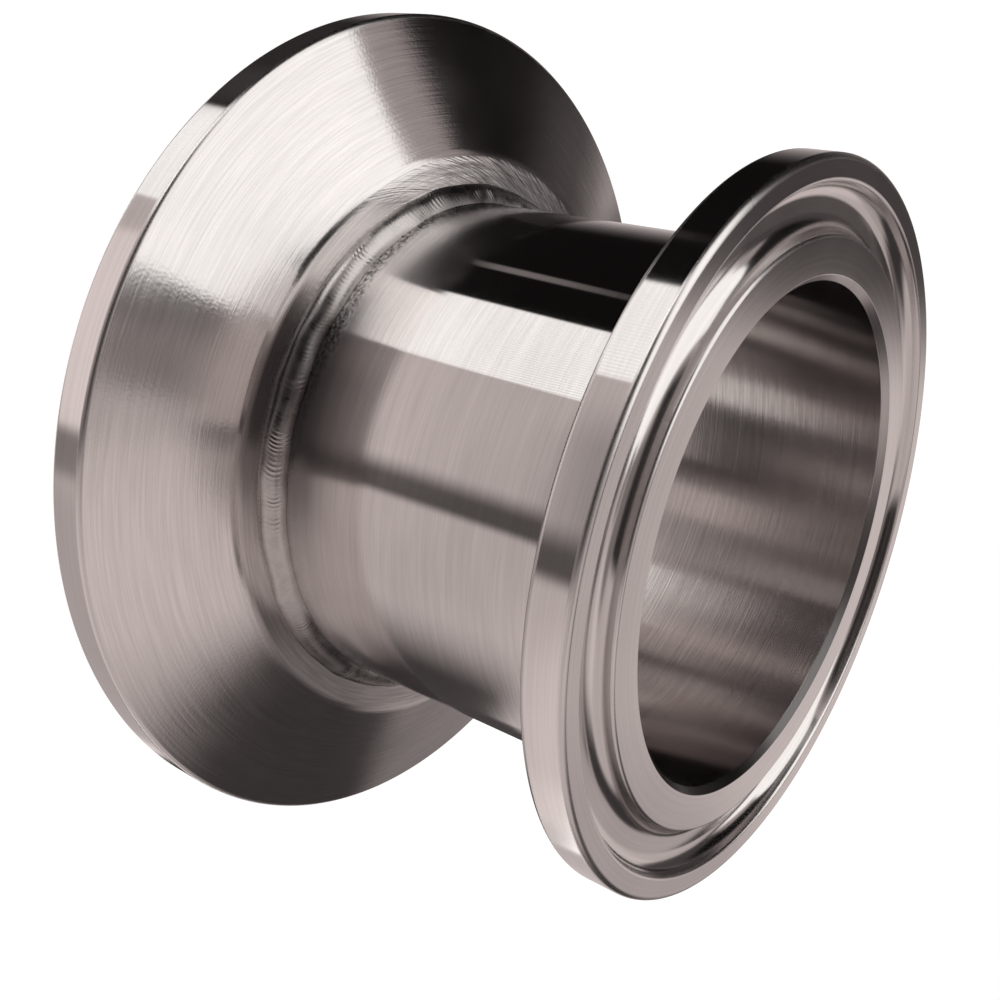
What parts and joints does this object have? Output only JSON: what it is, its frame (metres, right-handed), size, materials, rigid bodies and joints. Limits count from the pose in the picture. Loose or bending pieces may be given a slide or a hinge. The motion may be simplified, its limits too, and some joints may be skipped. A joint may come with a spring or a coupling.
{
  "type": "sanitary clamp reducing cap",
  "caption": "Turned steel cap that closes a large clamp joint down to a smaller clamp ferrule on a short bored tube.",
  "frame": {"origin": "centre of the large clamp plate's flat sealing face, on which the cap stands", "axes": "+Z along the common axis, from the large sealing face to the small one; X and Y are any two directions across it"},
  "size_m": [0.064, 0.064, 0.035],
  "materials": {
    "plate_steel": "turned and brushed round the axis",
    "ferrule_steel": "polished tube, turned faces",
    "weld_metal": "bright rippled weld metal"
  },
  "bodies": {
    "root": {"clamp_plate": "plate_steel", "tube_ferrule": "ferrule_steel", "weld_bead": "weld_metal"}
  },
  "joints": []
}
